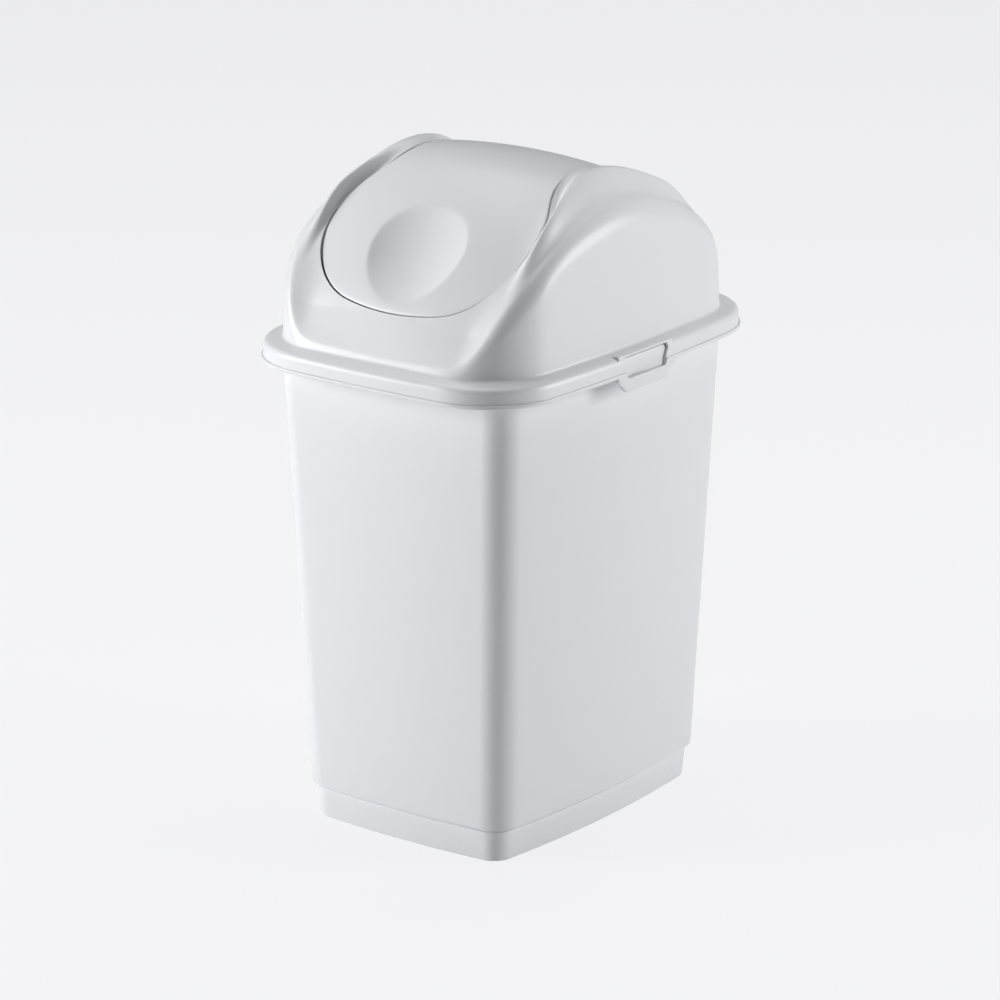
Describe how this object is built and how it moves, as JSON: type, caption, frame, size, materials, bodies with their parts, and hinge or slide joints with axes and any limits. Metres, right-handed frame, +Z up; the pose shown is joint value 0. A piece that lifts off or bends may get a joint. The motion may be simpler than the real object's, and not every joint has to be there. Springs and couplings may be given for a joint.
{
  "type": "swing-lid trash can",
  "caption": "Slim tapered kitchen bin with a lift-off domed lid, side catches and a dished flap that swings both ways.",
  "frame": {"origin": "on the floor, under the middle of the bin", "axes": "+Z up, X across the narrow side and along the flap's pivot, Y along the long side; the bin is the same from both ends and both sides"},
  "size_m": [0.21, 0.2692, 0.4027],
  "materials": {
    "body_plastic": "satin white moulded plastic",
    "lid_plastic": "satin white moulded plastic",
    "flap_plastic": "satin white moulded plastic"
  },
  "bodies": {
    "bucket": {"bin_body": "body_plastic"},
    "lid": {"lid_hood": "lid_plastic"},
    "flap": {"swing_flap": "flap_plastic"}
  },
  "joints": [
    {"name": "lid_lift", "type": "slide", "parent": "bucket", "child": "lid", "axis": [0, 0, 1], "range_m": [0, 0.12]},
    {"name": "flap_swing", "type": "hinge", "parent": "lid", "child": "flap", "pos_m": [0, 0, 0.385], "axis": [1, 0, 0], "range_deg": [-75, 75]}
  ]
}
